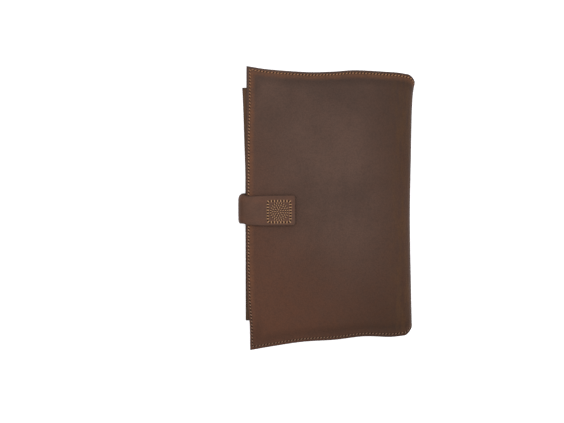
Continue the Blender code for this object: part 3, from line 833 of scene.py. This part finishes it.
# the passport sleeve: a roof on a soft gusset, sewn down on three sides
sleeve = {
    "box": outlineOf("passport_pocket"),
    "flange": 5.0 * mm, "rise": 4.0 * mm, "dip": 0.7 * mm, "thumbNotch": 8 * mm, "seamEnd": 1.5 * mm,
    "wall": 0.8 * mm, "mesh": 1.6 * mm, "eased": 0.2 * mm,
}
sleeve["z"] = holder["wall"] + holder["lining"] + 0.05 * mm + sleeve["wall"]
sleeveTop = side("passport_pocket", 1, "z") - sleeve["z"]


def sleeveHeight(x, y):  # flat flange, then an S-shaped gusset, then a roof that dips a little
    x0, x1, y0, y1 = sleeve["box"]
    near = np.minimum(np.minimum(x - x0, x1 - x), y - y0)
    up = ease(near, sleeve["flange"] - 0.5 * mm, sleeve["flange"] + sleeve["rise"])
    middle = np.clip(1 - ((x - (x0 + x1) / 2) / (42 * mm)) ** 2, 0, 1) * ease(y, y0, y0 + 50 * mm)
    return up * (sleeveTop - sleeve["dip"] * middle)


sleevePiece = panel("passportSleeve", sleeve, notch=sleeve["thumbNotch"], height=sleeveHeight)
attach(sleevePiece, "back")
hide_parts("passport_pocket")
x0, x1, y0, y1 = sleeve["box"]
inset = sleeve["flange"] / 2
corners = threeSides(x0 + inset, x1 - inset, y0 + inset, y1 - sleeve["seamEnd"])
sleevePath = rowOn(corners, lambda x, y: sleeve["z"] + sleeveHeight(x, y), 1.0)
sleeveRow = alongRow(*sleevePath, innerSeam["pitch"])
sleeveSeam = stampRows("passportSleeveSeam", [sleeveRow], innerSeam)
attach(sleeveSeam, "back")
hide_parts("passport_pocket_thread")
print("passport sleeve sewn in")

# the card pockets: two stepped pairs under the front lining, their faces down
card = {
    "wall": 0.6 * mm, "step": 0.64 * mm, "thumbNotch": 4 * mm, "seamEnd": 1.0 * mm,
    "mesh": 2.6 * mm, "eased": 0.15 * mm,
}
under = holder["thick"] - holder["wall"] - holder["lining"] - 2 * holder["gap"]
for pair, inner, outer, thread in (
    ("upper", "card_pocket_1", "card_pocket_2", "upper_card_thread"),
    ("lower", "card_pocket_3", "card_pocket_4", "lower_card_thread"),
):
    rows = []
    for node, level, inset in ((inner, 1, 1.2 * mm), (outer, 2, 1.6 * mm)):
        x0, x1, y0, y1 = outlineOf(node)
        z = under - level * card["step"]
        pocket = panel(
            node.replace("card_pocket_", "cardPocket"), dict(card, box=(x0, x1, y0, y1), z=z), facing=-1,
            notch=card["thumbNotch"],
        )
        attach(pocket, "front")
        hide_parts(node)
        corners = threeSides(x0 + inset, x1 - inset, y0 + inset, y1 - card["seamEnd"])
        rows.append(alongRow(*rowOn(corners, z, -1.0), innerSeam["pitch"]))
    seam = stampRows(pair + "CardSeam", rows, innerSeam)
    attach(seam, "front")
    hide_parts(thread)
print("card pockets sewn in")

# the strap: one band in two pieces that meet half way up its side
strap = {
    "left": side("strap_side", 0, "x"),
    "tip": side("strap_tab", 1, "x") - 0.4 * mm,
    "root": side("strap_anchor", 1, "x"),
    "top": side("strap_tab", 1, "z"),
    "bottom": side("strap_anchor", 0, "z"),
    "bend": 5.5 * mm,
    "wall": 1.6 * mm,
    "lining": 0.5 * mm,
    "half": 12.05 * mm,
    "neck": 11.5 * mm,  # half its width where it has just turned over
    "curl": 2.6 * mm,  # its edges draw in where it turns over the opening edge, the lower one less
    "lowCurl": 1.5 * mm,
    "crease": 0.22 * mm,
    "creasesAt": (-0.62, -0.8),  # shares of its half width
    "creaseWidth": 0.045,
    "rootLift": 0.5 * mm,
    "tipRound": 2.2 * mm,
    "liningInset": 0.6 * mm,
    "liningRound": 2.0 * mm,
    "mesh": 1.2 * mm,
    "bendMesh": 0.6 * mm,
}
bendX = strap["left"] + strap["bend"]
strapMiddle = (side("strap_tab", 0, "y") + side("strap_tab", 1, "y")) / 2
lowZ = strap["bottom"] + strap["bend"]
highZ = strap["top"] - strap["bend"]
midWall = (lowZ + highZ) / 2
rootRun = strap["root"] - bendX
quarter = strap["bend"] * math.pi / 2
wallRun = highZ - lowZ
tipRun = strap["tip"] - bendX
# distances along the strap's outer face, from its sewn root
atBend1, atWall1 = rootRun, rootRun + quarter
atMiddle, atWall2 = atWall1 + wallRun / 2, atWall1 + wallRun
atBend2 = atWall2 + quarter
atTip = atBend2 + tipRun
patch = {  # the stitched square over the hidden magnet, with rings of stitches inside it
    "x": -35.45 * mm, "y": -3.1 * mm, "halfX": 8.95 * mm, "halfY": 8.35 * mm,
    "swell": 0.3 * mm, "swellTop": 6.0 * mm, "swellFoot": 9.0 * mm,
    "pitchX": 2.4 * mm, "pitchY": 2.2 * mm, "sideEnd": 1.5 * mm, "cornerIn": 0.3 * mm,
    "rings": (1.5 * mm, 3.3 * mm, 5.1 * mm, 6.8 * mm), "ringPitch": 1.9 * mm,
}
strapDrift = curveThrough(
    [
        (0, 1.3), (atBend1 / mm, 1.2), (atWall1 / mm, 0.95), (atWall2 / mm, 0.85),
        (atBend2 / mm - 2, 0.55), (atBend2 / mm + 3, -0.75), (atTip / mm, -0.45),
    ]
)


def magnetSwell(x, y):  # the leather rises a little over the magnet
    fromMagnet = np.hypot(x - patch["x"], y - patch["y"])
    return patch["swell"] * (1 - ease(fromMagnet, patch["swellTop"], patch["swellFoot"]))


def strapPlace(depth, inset=0.0):
    def place(c, v):  # c along the strap, v from -1 to 1 across it
        c, v = np.broadcast_arrays(np.asarray(c, float), np.asarray(v, float))
        turn1 = np.clip((c - atBend1) / strap["bend"], 0, math.pi / 2)
        turn2 = np.clip((c - atWall2) / strap["bend"], 0, math.pi / 2)
        rise = np.clip(c - atWall1, 0, wallRun)
        back = np.clip(atBend1 - c, 0, None)
        ahead = np.clip(c - atBend2, 0, None)
        turn = turn1 + turn2
        outX, outZ = -np.sin(turn), -np.cos(turn)
        bulge = np.sin(np.clip(turn, 0, math.pi))
        curl = np.where(v > 0, strap["curl"] * np.abs(v) ** 8, strap["lowCurl"] * np.abs(v) ** 14) * bulge
        reach = strap["bend"] - depth
        for crease in strap["creasesAt"]:  # two soft creases where it was folded over
            sunk = np.exp(-(((v - crease) / strap["creaseWidth"]) ** 2))
            reach = reach - strap["crease"] * sunk * bulge
        x = bendX + outX * reach + back + ahead
        z = np.where(c < atMiddle, lowZ, highZ) + outZ * reach
        z = z + np.where((turn1 >= math.pi / 2) & (c < atMiddle), rise, 0)
        z = z - np.where((turn2 <= 0) & (c >= atMiddle), wallRun - rise, 0)
        neck = np.exp(-(((c - atBend2 - 3 * mm) / (9 * mm)) ** 2))
        half = strap["half"] + (strap["neck"] - strap["half"]) * neck
        y = strapMiddle + strapDrift(c) + v * (half - inset)
        lift = strap["rootLift"] * (1 - ease(c, atBend1 - 3 * mm, atBend1 + 4 * mm))
        swell = magnetSwell(x, y) * (c > atBend2)
        return stack(x + curl, y, z + lift + swell)

    return place


def roundedTip(place, radius, inset=0.0):  # the tip's corners are cut round
    def rounded(c, v):
        end = atTip - inset
        half = strap["half"] - inset
        over = np.clip(c - (end - radius), 0, radius)
        cut = radius - np.sqrt(np.clip(radius**2 - over**2, 0, None))
        limit = (half - cut) / half
        return place(np.minimum(c, end), v * limit)

    return rounded


def strapEdge(c, v):
    return np.minimum((1 - np.abs(v)) * strap["half"], np.minimum(c, atTip - c))


def midStrap(co):  # the hidden join between the strap's two pieces
    return abs(co.z - midWall) < 0.02 * mm and co.x < bendX


acrossStrap = spread(-1, 1, strap["mesh"] / strap["half"])
thin = 0.03 * mm  # the last row at the join
atRounding = atTip - 2.4 * mm
rootStops = np.concatenate(
    [
        spread(0, atBend1, strap["mesh"]), spread(atBend1, atMiddle, strap["bendMesh"])[1:-1],
        [atMiddle - thin, atMiddle],
    ]
)
tipStops = np.concatenate(
    [
        [atMiddle, atMiddle + thin], spread(atMiddle, atBend2, strap["bendMesh"])[1:],
        spread(atBend2, atRounding, strap["mesh"])[1:],
        atTip - (atTip - atRounding) * (1 - np.sin(np.linspace(0, math.pi / 2, 7)[1:])),
    ]
)
skin = 0.3 * mm  # the turning points lie this far inside the strap's face
sideX, underZ, overZ = strap["left"] + skin, strap["bottom"] + skin, strap["top"] - skin
for part, stops, body, other, start, end, nodes, liningNodes in (
    (
        "Root", rootStops, "back", "strap_loop", (bendX - skin, 0, underZ), (sideX, 0, lowZ - skin),
        ("strap_anchor",), (),
    ),
    (
        "End", tipStops, "strap_loop", "strap_end", (sideX, 0, highZ + skin), (bendX - skin, 0, overZ),
        ("strap_side", "strap_tab"), ("strap_side_lining", "strap_tab_lining"),
    ),
):
    face = strapPlace(0)
    backing = strapPlace(strap["wall"] + holder["gap"], strap["liningInset"])
    if part == "End":
        face = roundedTip(face, strap["tipRound"])
        backing = roundedTip(backing, strap["liningRound"], strap["liningInset"])
    band = newSheet("strap" + part + "Leather", stops, acrossStrap, face, strapEdge)
    giveWall(band, strap["wall"], strapHide, midStrap)
    settle(band)
    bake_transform(band)
    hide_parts(*nodes)
    lined = newSheet("strap" + part + "Lining", stops, acrossStrap, backing, strapEdge)
    giveWall(lined, strap["lining"], suede, midStrap, holder["liningEased"])
    settle(lined)
    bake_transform(lined)
    if liningNodes:
        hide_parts(*liningNodes)
print("strap shaped")

# the strap's stitches: a box through its root, and the square and rings over the magnet
boxLook = dict(innerSeam, seed=11)
boxStart, boxEnd, boxHalf = 2.0 * mm, rootRun - 3.5 * mm, (strap["half"] - 2.5 * mm) / strap["half"]
boxCorners = np.array([(boxStart, -boxHalf), (boxEnd, -boxHalf), (boxEnd, boxHalf), (boxStart, boxHalf)])
boxPath = np.vstack(
    [np.linspace(a, b, 30, endpoint=False) for a, b in zip(boxCorners, np.roll(boxCorners, -1, axis=0))]
)
topFace = strapPlace(strap["wall"] + strap["lining"] + 0.05 * mm)(boxPath[:, 0], boxPath[:, 1])
underFace = topFace * (1, 1, 0)
up = np.tile([0.0, 0.0, 1.0], (len(boxPath), 1))
anchorSeam = stampRows(
    "strapAnchorSeam",
    [alongRow(topFace, up, boxLook["pitch"], True), alongRow(underFace, -up, boxLook["pitch"], True)],
    boxLook,
)
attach(anchorSeam, "back")
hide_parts("strap_anchor_thread")


def onTab(x, y):  # points on the strap's top face
    return stack(x, y, strap["top"] + magnetSwell(x, y)), np.tile([0.0, 0.0, 1.0], (len(x), 1))


def crossed(row):  # the same places, with each stitch turned across its row
    (middle, heading, normal), holes = row
    return (middle, unit(np.cross(normal, heading)), normal), holes


borderLook = {
    "length": 2.3 * mm, "width": 0.9 * mm, "rise": 0.5 * mm, "sink": 0.08 * mm,
    "hole": 1.45 * mm, "holeRise": 0.08 * mm, "lean": 0.0, "seed": 21,
}
halfX, halfY = patch["halfX"], patch["halfY"]
border = []
for (mx, my), (rx, ry), pitch in (  # the middle of each side and its run, in half sizes
    ((0, 1), (1, 0), patch["pitchX"]),
    ((0, -1), (1, 0), patch["pitchX"]),
    ((-1, 0), (0, 1), patch["pitchY"]),
    ((1, 0), (0, 1), patch["pitchY"]),
):
    run = (halfX * rx + halfY * ry) - patch["sideEnd"]
    steps = np.linspace(-run, run, 40)
    row = onTab(patch["x"] + mx * halfX + rx * steps, patch["y"] + my * halfY + ry * steps)
    border.append(crossed(alongRow(*row, pitch)))
cornerX, cornerY = halfX - patch["cornerIn"], halfY - patch["cornerIn"]
corner = np.array([[1, 1], [1, -1], [-1, -1], [-1, 1]]) * (cornerX, cornerY)
middle, upward = onTab(patch["x"] + corner[:, 0], patch["y"] + corner[:, 1])
outward = unit(np.column_stack([corner, np.zeros(4)]))
noHoles = (middle[:0], outward[:0], upward[:0])
border.append(((middle, outward, upward), noHoles))  # one stitch closes each corner
borderSeam = stampRows("patchBorderSeam", border, borderLook)
ringLook = dict(borderLook, length=1.25 * mm, width=0.7 * mm, hole=0.95 * mm, seed=23)
rings = []
angle = np.linspace(0, 2 * math.pi, 90, endpoint=False)
for n, radius in enumerate(patch["rings"]):
    circle = onTab(patch["x"] + radius * np.cos(angle), patch["y"] + radius * np.sin(angle))
    ring = alongRow(*circle, patch["ringPitch"], True)
    rings.append(crossed(ring) if n % 2 else ring)  # every other ring is sewn across its line
ringSeam = stampRows("patchRingSeam", rings, ringLook)
for piece, node in ((borderSeam, "strap_patch_thread"), (ringSeam, "strap_ring_thread")):
    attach(piece, "strap_end")
    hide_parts(node)
print("strap sewn")

# camera, light and floor
view = {  # straight above, with the holder a little to the right of the middle
    "width": 448.4 * mm, "lens": 135.0, "sensor": 36.0, "middle": (-33.2 * mm, -3.0 * mm), "far": 20,
}
height = view["width"] * view["lens"] / view["sensor"] + holder["thick"]
bpy.ops.object.camera_add(location=(*view["middle"], height), rotation=(0, 0, 0))
camera = bpy.context.object
camera.name = "overheadCamera"
camera.data.lens = view["lens"]
camera.data.sensor_width = view["sensor"]
camera.data.clip_end = view["far"]
bpy.context.scene.camera = camera

# matte paper on a light table: no gloss, and a glow of its own that thins the shadows
paper, tree, shader = newMaterial(
    "mattePaper",
    {
        "Roughness": 1.0, "Specular IOR Level": 0.0, "Base Color": linear("#f4f3f6"),
        "Emission Color": linear("#ffffff"), "Emission Strength": 0.4,
    },
)
underStitches = -0.2 * mm
bpy.ops.mesh.primitive_grid_add(x_subdivisions=4, y_subdivisions=4, size=6, location=(0, 0, underStitches))
floor = bpy.context.object
floor.name = "paperFloor"
floor.data.materials.append(paper)

world = bpy.data.worlds.new("softRoom")
bpy.context.scene.world = world
world.use_nodes = True
backdrop = world.node_tree.nodes["Background"]
backdrop.inputs["Color"].default_value = linear("#ffffff")
backdrop.inputs["Strength"].default_value = 0.95
for name, place, size, power in (  # metres and watts
    ("softboxAbove", (-0.15, 0.2, 2.0), 2.0, 22.0),
    ("softboxSpine", (1.3, 0.1, 0.9), 0.9, 7.0),
):
    bpy.ops.object.light_add(type="AREA", location=place)
    lamp = bpy.context.object
    lamp.name = name
    lamp.data.shape = "SQUARE"
    lamp.data.size = size
    lamp.data.energy = power
    lamp.visible_camera = False
    lamp.rotation_euler = (-lamp.location).to_track_quat("-Z", "Y").to_euler()
bpy.context.scene.view_settings.view_transform = "Standard"
print("lit and framed")
